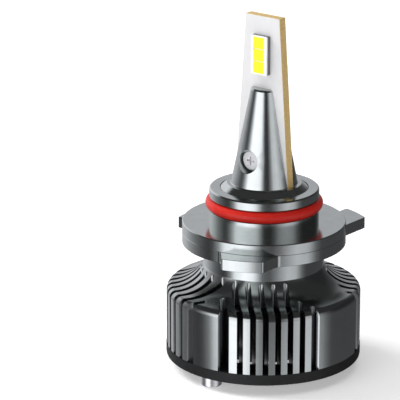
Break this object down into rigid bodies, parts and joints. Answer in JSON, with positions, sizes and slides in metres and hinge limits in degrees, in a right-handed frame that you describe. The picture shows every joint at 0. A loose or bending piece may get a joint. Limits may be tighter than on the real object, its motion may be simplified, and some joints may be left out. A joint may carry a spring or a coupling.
{
  "type": "headlight bulb",
  "caption": "LED headlight bulb: two-sided LED blade in a half-cone clamp, flanged collar with O-ring, finned heatsink and base fan.",
  "frame": {"origin": "on the bulb's axis, in the plane of the flange's seating face", "axes": "+Z along the axis towards the LED tip; the board lies in XZ and its LEDs face -Y and +Y; the back lug is on -X"},
  "size_m": [0.036, 0.0377, 0.0658],
  "materials": {
    "dark_aluminium": "polished, dark nickel tone",
    "copper": "satin copper core",
    "white_mask": "satin white coat",
    "led_frame": "white moulding",
    "led_ceramic": "grey, fine",
    "phosphor": "yellow, smooth",
    "red_rubber": "smooth red",
    "black_plastic": "matt, fine grain",
    "steel": "bright",
    "black_rubber": "matt",
    "circuit_board": "green coat",
    "ferrite": "sintered grey",
    "capacitor_can": "bright can",
    "bearing_bronze": "sintered bronze",
    "coil_wire": "enamelled copper wire",
    "core_steel": "stacked sheet",
    "magnet": "bonded magnet, matt"
  },
  "bodies": {
    "core": {"heatsink": "dark_aluminium", "clamp_half_front": "dark_aluminium", "clamp_half_rear": "dark_aluminium", "clamp_screw": "steel", "copper_board": "copper", "solder_mask_front": "white_mask", "solder_mask_rear": "white_mask", "led_base_front": "led_ceramic", "led_base_rear": "led_ceramic", "led_frame_front": "led_frame", "led_frame_rear": "led_frame", "phosphor_front": "phosphor", "phosphor_rear": "phosphor", "driver_board": "circuit_board", "driver_inductor": "ferrite", "driver_capacitors": "capacitor_can", "driver_chips": "black_plastic", "driver_cover": "dark_aluminium", "base_cover": "black_plastic", "cover_screws": "steel", "lead_grommet": "black_rubber", "fan_frame": "black_plastic", "fan_bearing": "bearing_bronze", "fan_board": "circuit_board", "stator_core": "core_steel", "stator_coils": "coil_wire"},
    "collar_ring": {"collar": "dark_aluminium", "lug_plate": "dark_aluminium", "o_ring": "red_rubber"},
    "fan": {"fan_rotor": "black_plastic", "rotor_yoke": "core_steel", "rotor_magnet": "magnet", "fan_shaft": "steel", "shaft_clip": "steel"}
  },
  "joints": [
    {"name": "fan_spin", "type": "hinge", "parent": "core", "child": "fan", "pos_m": [0, 0, -0.02], "axis": [0, 0, 1], "continuous": true},
    {"name": "collar_turn", "type": "hinge", "parent": "core", "child": "collar_ring", "pos_m": [0, 0, 0], "axis": [0, 0, 1], "continuous": true}
  ]
}
